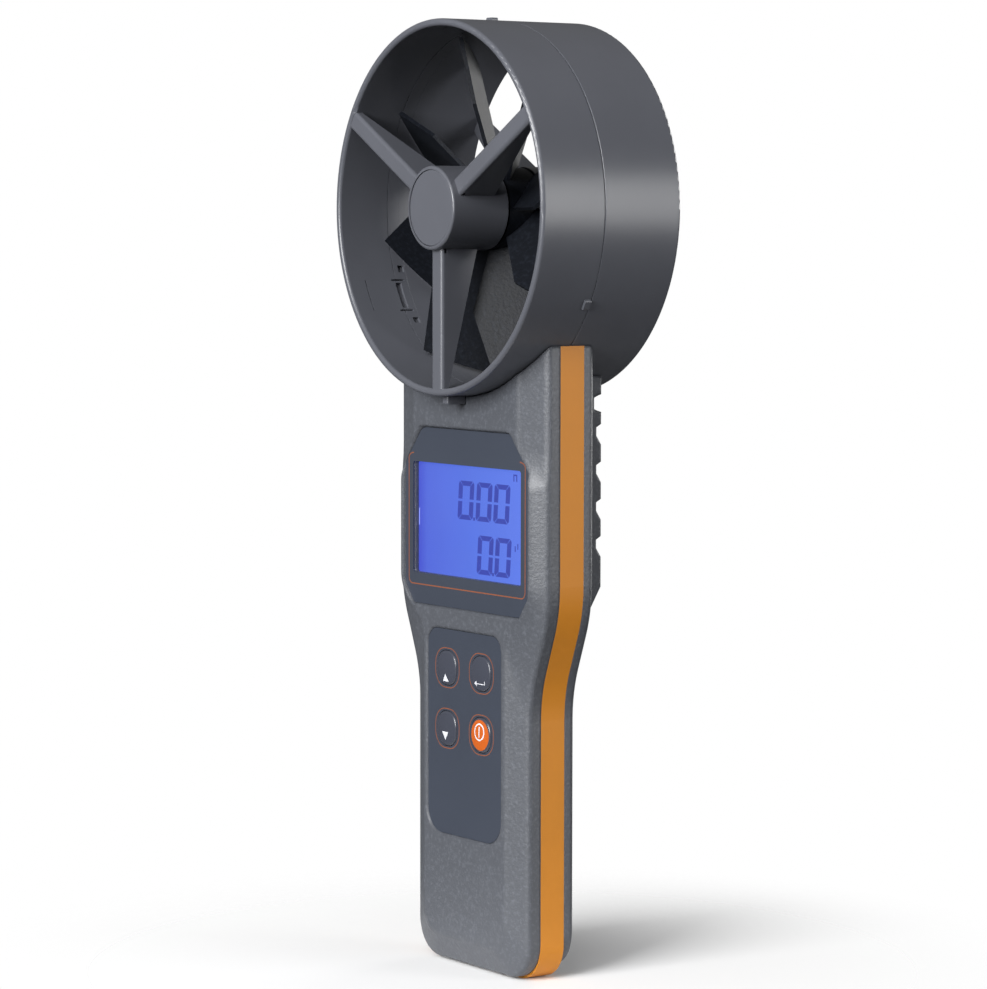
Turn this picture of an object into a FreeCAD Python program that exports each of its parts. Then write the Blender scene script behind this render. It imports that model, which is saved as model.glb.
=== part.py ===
import FreeCAD, Part
import math
import os

# Vane anemometer: a ring with a free-running vane wheel on top of a handle with a display and keys.
# Millimetres. +Z up, the display faces -Y, the ring axis is parallel to Y at x = 0.
# The origin is the middle of the ring depth in Y, the middle in X and the lowest face in Z.

# Ring and hubs
ringZ = 218.0
ringOuterR = 53.0
ringInnerR = 50.9
ringDepth = 46.8
seamY = -2.6
lipRound = 0.95
hubR = 11.85
hubStandProud = 1.6
hubWall = 1.8
hubGap = 0.6
spokeWidth = 5.4
spokeInset = 0.5
spokeDepthAtHub = 12.5
spokeDepthAtRing = 2.6
spokeRound = 1.1
spokeAngles = (30.0, 150.0, 270.0)
capInset = 1.05
capThick = 1.4
capGap = 0.08
latchAngles = (90.0, 210.0, 330.0)
latchDepth = 0.9
latchSquareAngle = 9.7
latchSlitAngle = 5.7
lugHalfWidth = 11.0
lugThick = 5.0
lugDrop = 13.0

# Vane wheel
bladeCount = 8
bladeFirstAngle = 201.3
bladePitch = 43.0
bladeTipR = 49.5
bladeWidestAt = 27.3
bladeHalfWidest = 14.9
bladeHalfTip = 12.4
bladeHalfRoot = 6.2
bladeThick = 1.1
wheelHubR = 11.6
wheelHubHalf = 5.5
wheelHubWall = 1.6
shaftR = 1.0
shaftHalf = 12.0
bearingR = 3.0
bearingThick = 2.5
runningGap = 0.04
magnetR = 2.8
magnetThick = 1.2

# Handle
wall = 2.2
upperHalf = 37.2
lowerHalf = 28.15
neckTopZ = 105.3
neckBottomZ = 81.8
neckRadius = 40.0
bottomRadius = 10.0
bandFrontY = -6.25
bandRearY = 1.75
frontDrop = 0.7
rearDrop = 2.6
frontFaceY = -13.7
frontSkin = 2.8
frontShoulderY = -10.2
rearShoulderY = 4.9
backY = 10.6
ringSeatGap = 0.3
ribHalf = 1.35
ribDrop = 2.4
ribFrontY = -20.0
ribRound = 0.5
ridgeTopHalf = 26.0
ridgeHalf = 32.6
ridgeLowerHalf = 20.4
ridgeBottomZ = 8.6
rearFlatUpperHalf = 27.5
rearFlatLowerHalf = 18.5
rearFlatBottomZ = 11.0
shoulderEase = 0.9
faceEase = 0.4
backInset = 0.8

# Grip block on the upper back
gripHalfBase = 26.0
gripHalfTop = 24.0
gripY = 17.2
gripTopZ = ringZ - 42.0
gripBottomZ = 110.8
gripFootZ = 100.5
gripGrooveZ = (155.0, 144.3, 133.7, 123.1)
gripGrooveFloor = 2.4
gripGrooveUpper = 0.9
gripGrooveLower = 2.6
gripGrooveDepth = 2.0
gripWallThick = 1.6
gripHoleR = 3.2
gripHoleX = 22.0
gripHoleZ = 163.0
gripHoleDepth = 3.0

# Display
bezelHalf = 31.4
bezelTopZ = 155.0
bezelBottomZ = 103.8
bezelRecess = 0.9
recessBevel = 0.45
panelGap = 0.12
bezelThick = 0.5
lcdHalf = 27.4
lcdTopZ = 144.95
lcdBottomZ = 112.7
windowThick = 0.8
glassThick = 2.2
glassMargin = 1.2
backlightThick = 2.6
boardY = -5.6
boardThick = 1.6
boardBottomZ = 34.0
stripThick = 1.2
boardEdgeGap = 1.0

# Keys
padHalf = 18.6
padTopZ = 97.5
padBottomZ = 38.3
padRecess = 0.4
padThick = 0.5
keyX = 8.7
keyUpperZ = 86.35
keyLowerZ = 68.82
keyHalfWidth = 5.0
keyHalfHeight = 5.0
keyCorner = 4.4
keyProud = 0.8
keyDomeR = 30.0
keyEdgeRound = 0.7
keyGap = 0.15
keyTravel = 0.8
keyFlange = 0.9
keyFlangeThick = 0.8
keyFlangeGap = 0.1
keyStemR = 2.6
domeR = 3.2
domeThick = 0.4

# Power
cellR = 5.15
cellLength = 44.5
cellTip = 1.2
cellTipR = 1.7
cellPitch = 10.9
cellCount = 4
cellY = 3.15
bayBottomZ = 12.0
bayTopZ = 64.5
bayGap = 0.15
trayWall = 1.4
springR = 2.6
springWire = 0.6
coverTopZ = 67.0
coverHalf = 22.6
coverThick = 2.0
coverGap = 0.25

# Fasteners and small parts
screwR = 1.2
screwHeadR = 2.3
screwHeadHeight = 1.6
screwHoleGap = 0.15
screwSink = 1.9
bossR = 3.3
bossGap = 0.5
caseScrews = ((30.6, 152.0), (-30.6, 152.0), (22.2, 75.5), (-22.2, 75.5))
socketR = 2.6
socketBodyR = 5.0
socketLength = 9.0
socketZ = 88.0
leadR = 0.9
leadBoreR = 1.2
leadBend = 6.0
leadY = 14.7
leadBackY = 8.0
leadLowZ = 145.5

ringFrontY = -ringDepth / 2.0
ringRearY = ringDepth / 2.0
hubFrontY = ringFrontY - hubStandProud
hubInnerY = wheelHubHalf + hubGap
bearingY = -shaftHalf + 0.6
chamberEndY = bearingY - 1.0
lugScrewZ = ringZ - ringOuterR - 8.0
ringAxis = FreeCAD.Vector(0, 1, 0)


def vec(x, y, z):
    return FreeCAD.Vector(x, y, z)


def box(x0, x1, y0, y1, z0, z1):
    return Part.makeBox(x1 - x0, y1 - y0, z1 - z0, vec(x0, y0, z0))


def rodY(radius, y0, y1, x, z):
    return Part.makeCylinder(radius, y1 - y0, vec(x, y0, z), vec(0, 1, 0))


def rodZ(radius, z0, z1, x, y):
    return Part.makeCylinder(radius, z1 - z0, vec(x, y, z0), vec(0, 0, 1))


def roundedWire(corners, place):
    # A closed loop of straight runs and corner arcs. corners holds (u, v, radius).
    # A corner with no turn becomes a short straight piece, so that two loops can be lofted.
    count = len(corners)
    joints = []
    for i in range(count):
        u, v, radius = corners[i]
        before = corners[i - 1]
        after = corners[(i + 1) % count]
        lengthIn = math.hypot(before[0] - u, before[1] - v)
        lengthOut = math.hypot(after[0] - u, after[1] - v)
        inU = (before[0] - u) / lengthIn
        inV = (before[1] - v) / lengthIn
        outU = (after[0] - u) / lengthOut
        outV = (after[1] - v) / lengthOut
        turn = math.pi - math.acos(max(-1.0, min(1.0, inU * outU + inV * outV)))
        reach = min(radius * math.tan(turn / 2.0), 0.48 * lengthIn, 0.48 * lengthOut)
        flat = turn < 0.01
        if flat:
            reach = min(1.0, 0.2 * lengthIn, 0.2 * lengthOut)
        start = (u + inU * reach, v + inV * reach)
        end = (u + outU * reach, v + outV * reach)
        middle = None
        if not flat:
            arcRadius = reach / math.tan(turn / 2.0)
            sag = arcRadius * (1.0 / math.cos(turn / 2.0) - 1.0)
            halfU = inU + outU
            halfV = inV + outV
            size = math.hypot(halfU, halfV)
            middle = (u + halfU / size * sag, v + halfV / size * sag)
        joints.append((start, middle, end))
    edges = []
    for i in range(count):
        start, middle, end = joints[i]
        if middle is None:
            edges.append(Part.makeLine(place(*start), place(*end)))
        else:
            edges.append(Part.Arc(place(*start), place(*middle), place(*end)).toShape())
        edges.append(Part.makeLine(place(*end), place(*joints[(i + 1) % count][0])))
    return Part.Wire(edges)


def onFront(y):
    return lambda x, z: vec(x, y, z)


def plate(corners, y0, y1):
    face = Part.Face(roundedWire(corners, onFront(y0)))
    return face.extrude(vec(0, y1 - y0, 0))


def taper(*sections):
    # A solid through outlines at rising or falling y. Each section is (corners, y).
    wires = [roundedWire(corners, onFront(y)) for corners, y in sections]
    return Part.makeLoft(wires, True, True)


def between(first, second, share):
    # The outline that lies share of the way from the first to the second.
    mixed = []
    for a, b in zip(first, second):
        mixed.append(tuple(p + (q - p) * share for p, q in zip(a, b)))
    return mixed


def bothSides(half):
    # Right half from top to bottom, then the same corners on the left from bottom to top.
    return list(half) + [(-x, z, radius) for x, z, radius in reversed(half)]


def rectangle(halfWidth, z0, z1, radius):
    return bothSides([(halfWidth, z1, radius), (halfWidth, z0, radius)])


def ringProfile(corners):
    # Turns (y, r, corner radius) about the ring axis.
    face = Part.Face(roundedWire(corners, lambda y, r: vec(0, y, ringZ + r)))
    return face.revolve(vec(0, 0, ringZ), ringAxis, 360)


def turned(shape, angle):
    # Turns a shape made on the +X side of the ring axis to an angle from +X towards +Z.
    copy = shape.copy()
    copy.rotate(vec(0, 0, ringZ), ringAxis, -angle)
    return copy


def mirroredY(shape):
    return shape.mirror(vec(0, 0, 0), vec(0, 1, 0))


def casingOutline(inset, bottomZ):
    return bothSides([
        (upperHalf - inset, ringZ - 28.0, 0.4),
        (upperHalf - inset, bezelTopZ - 5.0, 4.0),
        (upperHalf - inset, bezelTopZ - 14.0, 4.0),
        (upperHalf - inset, neckTopZ, neckRadius),
        (lowerHalf - inset, neckBottomZ, neckRadius),
        (lowerHalf - inset, bottomZ + inset, max(bottomRadius - inset, 1.0)),
    ])


def ridgeOutline(inset):
    return bothSides([
        (ridgeTopHalf - inset, ringZ - 28.0, 0.4),
        (ridgeTopHalf - inset, bezelTopZ - 5.0, 6.0),
        (ridgeHalf - inset, bezelTopZ - 14.0, 6.0),
        (ridgeHalf - inset, bezelBottomZ + 4.5, 8.0),
        (ridgeLowerHalf - inset, padTopZ + 1.5, 8.0),
        (ridgeLowerHalf - inset, ridgeBottomZ + inset, 7.0),
    ])


def backOutline(inset):
    return bothSides([
        (rearFlatUpperHalf - inset, ringZ - 28.0, 0.4),
        (rearFlatUpperHalf - inset, bezelTopZ - 5.0, 4.0),
        (rearFlatUpperHalf - inset, bezelTopZ - 14.0, 4.0),
        (rearFlatUpperHalf - inset, neckTopZ, neckRadius),
        (rearFlatLowerHalf - inset, neckBottomZ, neckRadius),
        (rearFlatLowerHalf - inset, rearFlatBottomZ + inset, 6.0),
    ])


def casingHalf(faceOutline, drop, bandY, shoulderY, faceY):
    # One moulded half outside: a side wall, a slope to the flat face, and eased edges on both.
    side = casingOutline(0.0, drop)
    face = faceOutline(0.0)
    rise = faceY - shoulderY
    easeY = math.copysign(shoulderEase, rise)
    return taper(
        (side, bandY),
        (side, shoulderY - easeY),
        (between(side, face, 0.04), shoulderY - easeY * 0.15),
        (between(side, face, 0.14), shoulderY + rise * 0.125),
        (between(side, face, 0.86), shoulderY + rise * 0.84),
        (between(side, face, 0.95), shoulderY + rise * 0.955),
        (faceOutline(faceEase), faceY))


def ringSeat():
    return rodY(ringOuterR + ringSeatGap, -40.0, 40.0, 0.0, ringZ)


def bezelCorners(inset):
    return bothSides([
        (22.5 - inset, bezelTopZ - inset, 4.0),
        (bezelHalf - inset, bezelTopZ - 10.5, 5.0),
        (bezelHalf - inset, bezelBottomZ + 5.6, 2.0),
        (27.0 - inset * 0.6, bezelBottomZ + inset, 2.0),
    ])


def padCorners(inset):
    return bothSides([
        (padHalf - inset, padTopZ - inset, 4.6 - inset),
        (padHalf - inset, padBottomZ + inset, 7.0 - inset),
    ])


def keyCorners(x, z, grow):
    width = keyHalfWidth + grow
    height = keyHalfHeight + grow
    radius = keyCorner + grow
    return [
        (x + width, z + height, radius),
        (x + width, z - height, radius),
        (x - width, z - height, radius),
        (x - width, z + height, radius),
    ]


def keyPlaces():
    return {
        "key_up": (-keyX, keyUpperZ),
        "key_enter": (keyX, keyUpperZ),
        "key_down": (-keyX, keyLowerZ),
        "key_power": (keyX, keyLowerZ),
    }


def spoke(angle):
    r0 = hubR - hubWall
    r1 = ringInnerR + 1.0
    y0 = ringFrontY + spokeInset
    corners = [
        vec(r0, y0, ringZ),
        vec(r1, y0, ringZ),
        vec(r1, ringFrontY + spokeDepthAtRing, ringZ),
        vec(hubR, ringFrontY + spokeDepthAtHub, ringZ),
        vec(r0, ringFrontY + spokeDepthAtHub, ringZ),
    ]
    face = Part.Face(Part.makePolygon(corners + corners[:1]))
    bar = face.extrude(vec(0, 0, spokeWidth))
    bar.translate(vec(0, 0, -spokeWidth / 2.0))
    longEdges = []
    for edge in bar.Edges:
        middle = edge.CenterOfMass
        along = abs(edge.BoundBox.XLength - (r1 - r0)) < 0.01
        if along and abs(middle.y - y0) < 0.01:
            longEdges.append(edge)
    return turned(bar.makeFillet(spokeRound, longEdges), angle)


def hubCavity():
    # The space inside a front hub: cap recess, open chamber, bearing seat and shaft hole.
    chamberR = hubR - hubWall
    seatEnd = bearingY + bearingThick + 0.02
    space = rodY(hubR - capInset, hubFrontY - 1.0, hubFrontY + capThick, 0.0, ringZ)
    space = space.fuse(rodY(chamberR, hubFrontY + capThick - 0.01, chamberEndY, 0.0, ringZ))
    space = space.fuse(rodY(bearingR, chamberEndY - 0.1, seatEnd, 0.0, ringZ))
    return space.fuse(rodY(shaftR + 0.5, seatEnd - 0.5, -hubInnerY + 1.0, 0.0, ringZ))


def shroudFrame(seam):
    # One half of the ring with its three spokes and its hub, opening towards -Y.
    ring = ringProfile([
        (ringFrontY, ringInnerR, lipRound),
        (ringFrontY, ringOuterR, lipRound),
        (seam, ringOuterR, 0.3),
        (seam, ringInnerR, 0.05),
    ])
    hub = ringProfile([
        (hubFrontY, 0.0, 0.01),
        (hubFrontY, hubR, 0.7),
        (-hubInnerY, hubR, 0.4),
        (-hubInnerY, 0.0, 0.01),
    ])
    frame = ring.fuse([hub] + [spoke(angle) for angle in spokeAngles])
    return frame.cut(hubCavity())


def latchBump(seam):
    bump = box(ringOuterR - 0.8, ringOuterR + 0.8, seam - 2.4, seam - 0.4, ringZ - 1.5, ringZ + 1.5)
    outer = [e for e in bump.Edges if e.BoundBox.YLength > 1.8 and e.CenterOfMass.x > ringOuterR]
    return bump.makeFillet(0.5, outer)


def latchPocket(y0, y1, halfHeight):
    return box(ringInnerR - 1.0, ringInnerR + latchDepth, y0, y1, ringZ - halfHeight, ringZ + halfHeight)


def latchPockets(seam):
    # Shallow marks of the snap latch on the inner wall: a window, a line, two squares and two slits.
    tools = [latchPocket(seam - 4.4, seam - 2.4, 4.2), latchPocket(seam - 14.8, seam - 14.5, 5.0)]
    for side in (-1.0, 1.0):
        tools.append(turned(latchPocket(seam - 2.4, seam - 0.4, 1.0), side * latchSquareAngle))
        tools.append(turned(latchPocket(seam - 5.6, seam - 1.1, 0.25), side * latchSlitAngle))
    return tools


def lapLine(seam):
    # The fine line where the halves lap inside, forward of the seam outside.
    return ringProfile([
        (seam - 4.25, ringInnerR - 0.5, 0.01),
        (seam - 4.25, ringInnerR + 0.15, 0.01),
        (seam - 4.0, ringInnerR + 0.15, 0.01),
        (seam - 4.0, ringInnerR - 0.5, 0.01),
    ])


def footRib():
    # Locating rib under the ring, in front of the casing.
    topZ = ringZ - ringOuterR
    rib = box(-ribHalf, ribHalf, ribFrontY, frontFaceY - ringSeatGap, topZ - ribDrop, topZ + 1.0)
    low = [e for e in rib.Edges if e.CenterOfMass.z < topZ and abs(e.CenterOfMass.y - ribFrontY) < 0.01]
    return rib.makeFillet(ribRound, low)


def lug(y0, y1):
    block = box(-lugHalfWidth, lugHalfWidth, y0, y1, ringZ - ringOuterR - lugDrop, ringZ - ringOuterR + 1.5)
    return block.cut(rodY(ringOuterR - 0.6, y0 - 1.0, y1 + 1.0, 0.0, ringZ))


def frontShroud():
    frame = shroudFrame(seamY)
    frame = frame.fuse([lug(-lugThick - 3.0, -3.0), footRib()])
    frame = frame.fuse([turned(latchBump(seamY), angle) for angle in latchAngles if angle != 270.0])
    tools = []
    for angle in latchAngles:
        for tool in latchPockets(seamY):
            tools.append(turned(tool, angle))
    for angle in spokeAngles:
        for side in (-1.0, 1.0):
            z = ringZ + side * (spokeWidth / 2.0 - 0.4)
            slot = box(hubR - 0.6, hubR + 0.9, ringFrontY + 1.4, ringFrontY + 2.4, z - 0.5, z + 0.5)
            tools.append(turned(slot, angle))
    frame = frame.cut(tools).cut(lapLine(seamY))
    return frame.cut(rodY(screwR + screwHoleGap, -12.0, 0.0, 0.0, lugScrewZ))


def leadSpokeWeb():
    # The rear lower spoke stays deep out to the ring, because the sensor lead runs inside it.
    corners = [
        vec(0, ringRearY - spokeDepthAtHub, ringZ - hubR + 1.0),
        vec(0, leadY - leadBoreR - 0.5, ringZ - bladeWidestAt + 4.0),
        vec(0, leadY - leadBoreR - 0.5, ringZ - ringInnerR - 1.0),
        vec(0, ringRearY - spokeInset - 1.5, ringZ - ringInnerR - 1.0),
        vec(0, ringRearY - spokeInset - 1.5, ringZ - hubR + 1.0),
    ]
    web = Part.Face(Part.makePolygon(corners + corners[:1])).extrude(vec(spokeWidth, 0, 0))
    web.translate(vec(-spokeWidth / 2.0, 0, 0))
    return web


def rearShroud():
    frame = mirroredY(shroudFrame(-seamY)).fuse(leadSpokeWeb())
    frame = frame.fuse(lug(0.5, lugThick + 0.5)).cut(mirroredY(hubCavity()))
    bore = rodZ(leadBoreR, ringZ - ringOuterR - 2.0, ringZ - hubR + hubWall + 0.5, 0.0, leadY)
    pocket = box(-2.2, 2.2, -chamberEndY - 1.2, -chamberEndY + 0.1, ringZ + 3.4, ringZ + 6.6)
    frame = frame.cut([bore, pocket])
    return frame.cut(rodY(screwR - 0.15, -1.0, lugThick, 0.0, lugScrewZ))


def hubCap():
    radius = hubR - capInset - capGap
    disc = rodY(radius, hubFrontY + 0.15, hubFrontY + capThick, 0.0, ringZ)
    rim = [edge for edge in disc.Edges if edge.Closed and edge.CenterOfMass.y < hubFrontY + 0.2]
    return disc.makeFillet(0.35, rim)


def bearing():
    ring = rodY(bearingR - 0.02, bearingY, bearingY + bearingThick, 0.0, ringZ)
    return ring.cut(rodY(shaftR + runningGap, bearingY - 1.0, bearingY + bearingThick + 1.0, 0.0, ringZ))


def shaft():
    rod = rodY(shaftR, -shaftHalf, shaftHalf, 0.0, ringZ)
    return rod.makeChamfer(0.25, rod.Edges[:1] + rod.Edges[2:])


def blade(angle):
    # A flat plate, widest part-way out, set at the pitch angle about its own radial line.
    outline = [
        vec(wheelHubR - 0.8, 0, -bladeHalfRoot),
        vec(bladeWidestAt, 0, -bladeHalfWidest),
        vec(bladeTipR + 2.0, 0, -bladeHalfTip),
        vec(bladeTipR + 2.0, 0, bladeHalfTip),
        vec(bladeWidestAt, 0, bladeHalfWidest),
        vec(wheelHubR - 0.8, 0, bladeHalfRoot),
    ]
    flat = Part.Face(Part.makePolygon(outline + outline[:1])).extrude(vec(0, bladeThick, 0))
    flat.translate(vec(0, -bladeThick / 2.0, 0))
    flat.rotate(vec(0, 0, 0), vec(1, 0, 0), -bladePitch)
    flat.translate(vec(0, 0, ringZ))
    return turned(flat, angle)


def vaneWheel():
    hub = rodY(wheelHubR, -wheelHubHalf, wheelHubHalf, 0.0, ringZ)
    step = 360.0 / bladeCount
    blades = [blade(bladeFirstAngle + step * i) for i in range(bladeCount)]
    wheel = hub.fuse(blades).common(rodY(bladeTipR, -30.0, 30.0, 0.0, ringZ))
    chamberR = wheelHubR - wheelHubWall
    for y0, y1 in ((-wheelHubHalf - 1.0, -1.2), (1.2, wheelHubHalf + 1.0)):
        chamber = rodY(chamberR, y0, y1, 0.0, ringZ).cut(rodY(4.2, y0 - 1.0, y1 + 1.0, 0.0, ringZ))
        wheel = wheel.cut(chamber)
    pocket = rodY(magnetR, wheelHubHalf - magnetThick, wheelHubHalf + 1.0, 0.0, ringZ)
    return wheel.cut([rodY(shaftR, -30.0, 30.0, 0.0, ringZ), pocket])


def magnet():
    disc = rodY(magnetR - 0.02, wheelHubHalf - magnetThick, wheelHubHalf - 0.1, 0.0, ringZ)
    return disc.cut(rodY(shaftR, 0.0, 30.0, 0.0, ringZ))


def recess(corners, bevelDepth, depth):
    # A panel's seat: bevelled walls from the front face down to the panel, then straight ones.
    mouth = (corners(-panelGap - recessBevel), frontFaceY)
    bevel = taper(mouth, (corners(-panelGap), frontFaceY + bevelDepth))
    return [bevel, plate(corners(-panelGap), frontFaceY + bevelDepth - 0.01, frontFaceY + depth)]


def frontCasing():
    body = casingHalf(ridgeOutline, frontDrop, bandFrontY, frontShoulderY, frontFaceY)
    space = plate(casingOutline(wall, frontDrop), frontShoulderY + 0.6, bandFrontY + 1.0)
    space = space.fuse(plate(ridgeOutline(1.2), frontFaceY + frontSkin, frontShoulderY + 1.0))
    body = body.cut(space)
    for x, z in caseScrews:
        body = body.fuse(rodY(bossR, frontFaceY + frontSkin - 0.2, bandFrontY - 0.1, x, z).common(
            plate(casingOutline(0.4, frontDrop), frontShoulderY - 0.6, bandFrontY)))
    tools = [ringSeat()]
    tools += recess(bezelCorners, bezelRecess, bezelRecess + bezelThick)
    tools += recess(padCorners, padRecess, padRecess + padThick)
    tools.append(plate(rectangle(lcdHalf, lcdBottomZ, lcdTopZ, 0.8), frontFaceY, frontShoulderY + 1.0))
    for x, z in keyPlaces().values():
        tools.append(plate(keyCorners(x, z, keyGap), frontFaceY, frontShoulderY + 1.0))
    for x, z in caseScrews:
        tools.append(rodY(screwR - 0.15, frontShoulderY + 0.4, bandFrontY + 1.0, x, z))
    return body.cut(tools)


def sideBand():
    outer = plate(casingOutline(0.0, 0.0), bandFrontY, bandRearY)
    inner = plate(casingOutline(wall, rearDrop), bandFrontY - 1.0, bandRearY + 1.0)
    return outer.cut([inner, ringSeat()])


def rearOuter():
    return casingHalf(backOutline, rearDrop, bandRearY, rearShoulderY, backY)


def rearSpace():
    space = plate(casingOutline(wall, rearDrop), bandRearY - 1.0, rearShoulderY - 0.4)
    shoulder = (casingOutline(wall, rearDrop), rearShoulderY - 0.42)
    inner = taper(shoulder, (backOutline(backInset), backY - wall))
    return space.fuse(inner)


def gripBlock():
    side = [
        vec(0, backY - 1.0, gripTopZ),
        vec(0, gripY, gripTopZ),
        vec(0, gripY, gripBottomZ),
        vec(0, backY - 1.0, gripFootZ),
    ]
    block = Part.Face(Part.makePolygon(side + side[:1])).extrude(vec(2.0 * gripHalfBase, 0, 0))
    block.translate(vec(-gripHalfBase, 0, 0))
    section = [
        vec(-gripHalfBase, backY - 1.0, gripFootZ),
        vec(gripHalfBase, backY - 1.0, gripFootZ),
        vec(gripHalfTop, gripY, gripFootZ),
        vec(-gripHalfTop, gripY, gripFootZ),
    ]
    slope = Part.Face(Part.makePolygon(section + section[:1])).extrude(vec(0, 0, gripTopZ - gripFootZ))
    block = block.common(slope)
    grooves = []
    for z in gripGrooveZ:
        top = z + gripGrooveFloor / 2.0
        bottom = z - gripGrooveFloor / 2.0
        cut = [
            vec(-40, gripY, top + gripGrooveUpper),
            vec(-40, gripY - gripGrooveDepth, top),
            vec(-40, gripY - gripGrooveDepth, bottom),
            vec(-40, gripY, bottom - gripGrooveLower),
        ]
        grooves.append(Part.Face(Part.makePolygon(cut + cut[:1])).extrude(vec(80, 0, 0)))
    for x in (-gripHoleX, gripHoleX):
        grooves.append(rodY(gripHoleR, gripY - gripHoleDepth, gripY + 1.0, x, gripHoleZ))
    return block.cut(grooves)


def coverShell(grow):
    # The skin of the lower back that the cover takes up; grow is the clearance all round.
    outer = rearOuter()
    inner = outer.copy()
    inner.translate(vec(0, -coverThick - grow, 0))
    half = coverHalf + grow
    region = box(-half, half, rearShoulderY - 1.5, backY + 1.0, -5.0, coverTopZ + grow)
    return outer.common(region).cut(inner)


def batteryBay():
    half = cellCount / 2.0 * cellPitch + bayGap
    return box(-half, half, cellY - cellR - bayGap, backY + 1.0, bayBottomZ, bayTopZ)


def rearCasing():
    body = rearOuter().cut(rearSpace())
    hollow = box(
        -gripHalfTop + wall, gripHalfTop - wall, backY - wall - 1.0, gripY - gripHoleDepth - gripWallThick,
        gripFootZ + 9.0, gripTopZ)
    leadPocket = box(-3.0, 3.0, backY - wall - 1.0, leadY + leadBoreR, ringZ - ringOuterR - 6.8, gripTopZ)
    body = body.fuse(gripBlock()).cut([hollow, leadPocket])
    trayHalf = cellCount / 2.0 * cellPitch + bayGap + trayWall + 0.85
    trayFront = cellY - cellR - trayWall
    trayLow = bayBottomZ - trayWall
    body = body.fuse(box(-trayHalf, trayHalf, trayFront, bandRearY + 0.5, trayLow, bayTopZ + trayWall))
    trayBack = box(-trayHalf, trayHalf, bandRearY, backY + 1.0, 0.0, coverTopZ + 1.8)
    body = body.fuse(trayBack.common(rearOuter()))
    inside = plate(casingOutline(0.4, rearDrop), bandFrontY, rearShoulderY + 1.0)
    for x, z in caseScrews:
        body = body.fuse(rodY(bossR, bandFrontY + 0.1, rearShoulderY + 1.0, x, z).common(inside))
    socketBoss = rodY(socketBodyR + 1.6, backY - socketLength - 1.0, backY - 0.2, 0.0, socketZ)
    body = body.fuse(socketBoss)
    tools = [ringSeat(), batteryBay(), coverShell(coverGap)]
    for x, z in caseScrews:
        tools.append(rodY(screwR + screwHoleGap, -10.0, 20.0, x, z))
        tools.append(rodY(screwHeadR + screwHoleGap, rearShoulderY - screwSink, 20.0, x, z))
    tools.append(rodY(socketBodyR, backY - socketLength, backY + 1.0, 0.0, socketZ))
    return body.cut(tools)


def batteryCover():
    skin = coverShell(0.0)
    grips = []
    for i in range(4):
        z = coverTopZ - 7.0 - 2.6 * i
        grips.append(box(-7.0, 7.0, backY - 0.6, backY + 1.0, z - 0.6, z + 0.6))
    return skin.cut(grips)


def displayBezel():
    front = frontFaceY + bezelRecess
    panel = plate(bezelCorners(0.0), front, front + bezelThick)
    view = rectangle(lcdHalf, lcdBottomZ, lcdTopZ, 0.8)
    return panel.cut(plate(view, front - 1.0, front + bezelThick + 1.0))


def displayWindow():
    front = frontFaceY + bezelRecess + 0.25
    return plate(rectangle(lcdHalf - 0.1, lcdBottomZ + 0.1, lcdTopZ - 0.1, 0.7), front, front + windowThick)


def glassFrontY():
    return frontFaceY + frontSkin + 0.05


def lcdPanel():
    y0 = glassFrontY()
    outline = rectangle(lcdHalf + 0.1, lcdBottomZ - glassMargin, lcdTopZ + glassMargin, 0.3)
    return plate(outline, y0, y0 + glassThick)


def lcdBacklight():
    y0 = glassFrontY() + glassThick + 0.05
    return plate(rectangle(lcdHalf, lcdBottomZ + 0.3, lcdTopZ - 0.3, 0.5), y0, y0 + backlightThick)


def lcdConnectors():
    y0 = glassFrontY() + glassThick
    strips = []
    for z in (lcdBottomZ - glassMargin + 0.1, lcdTopZ + glassMargin - stripThick - 0.1):
        strips.append(box(-lcdHalf + 4.0, lcdHalf - 4.0, y0, boardY, z, z + stripThick))
    return Part.makeCompound(strips)


def boardCorners():
    return bothSides([
        (upperHalf - wall - boardEdgeGap, bezelTopZ - 3.0, 2.0),
        (upperHalf - wall - boardEdgeGap, neckTopZ, neckRadius),
        (lowerHalf - wall - boardEdgeGap, neckBottomZ, neckRadius),
        (lowerHalf - wall - boardEdgeGap, boardBottomZ, 2.0),
    ])


def mainBoard():
    board = plate(boardCorners(), boardY, boardY + boardThick)
    holes = [rodY(bossR + bossGap, boardY - 1.0, boardY + boardThick + 1.0, x, z) for x, z in caseScrews]
    return board.cut(holes)


def boardParts():
    rear = boardY + boardThick
    chips = [
        box(-7.0, 7.0, rear, rear + 1.6, 122.0, 136.0),
        box(12.0, 18.0, rear, rear + 1.4, 126.0, 131.0),
        box(-20.0, -14.0, rear, rear + 1.4, 110.0, 114.0),
        box(10.0, 16.0, rear, rear + 2.0, 104.0, 110.0),
        rodY(1.6, rear, rear + 5.0, -24.0, 128.0),
    ]
    return Part.makeCompound(chips)


def leadSocket():
    rear = boardY + boardThick
    return box(-3.0, 3.0, rear, rear + 4.0, 143.0, 148.0)


def buzzer():
    rear = boardY + boardThick
    return rodY(6.0, rear, rear + 4.5, 20.0, 117.5)


def keyDomes():
    domes = []
    for x, z in keyPlaces().values():
        dome = rodY(domeR, boardY - domeThick, boardY, x, z)
        domes.append(dome.makeChamfer(0.25, [dome.Edges[0]]))
    return Part.makeCompound(domes)


def keypadPanel():
    front = frontFaceY + padRecess
    panel = plate(padCorners(0.0), front, front + padThick)
    holes = [plate(keyCorners(x, z, keyGap), front - 1.0, front + 1.0) for x, z in keyPlaces().values()]
    return panel.cut(holes)


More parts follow.
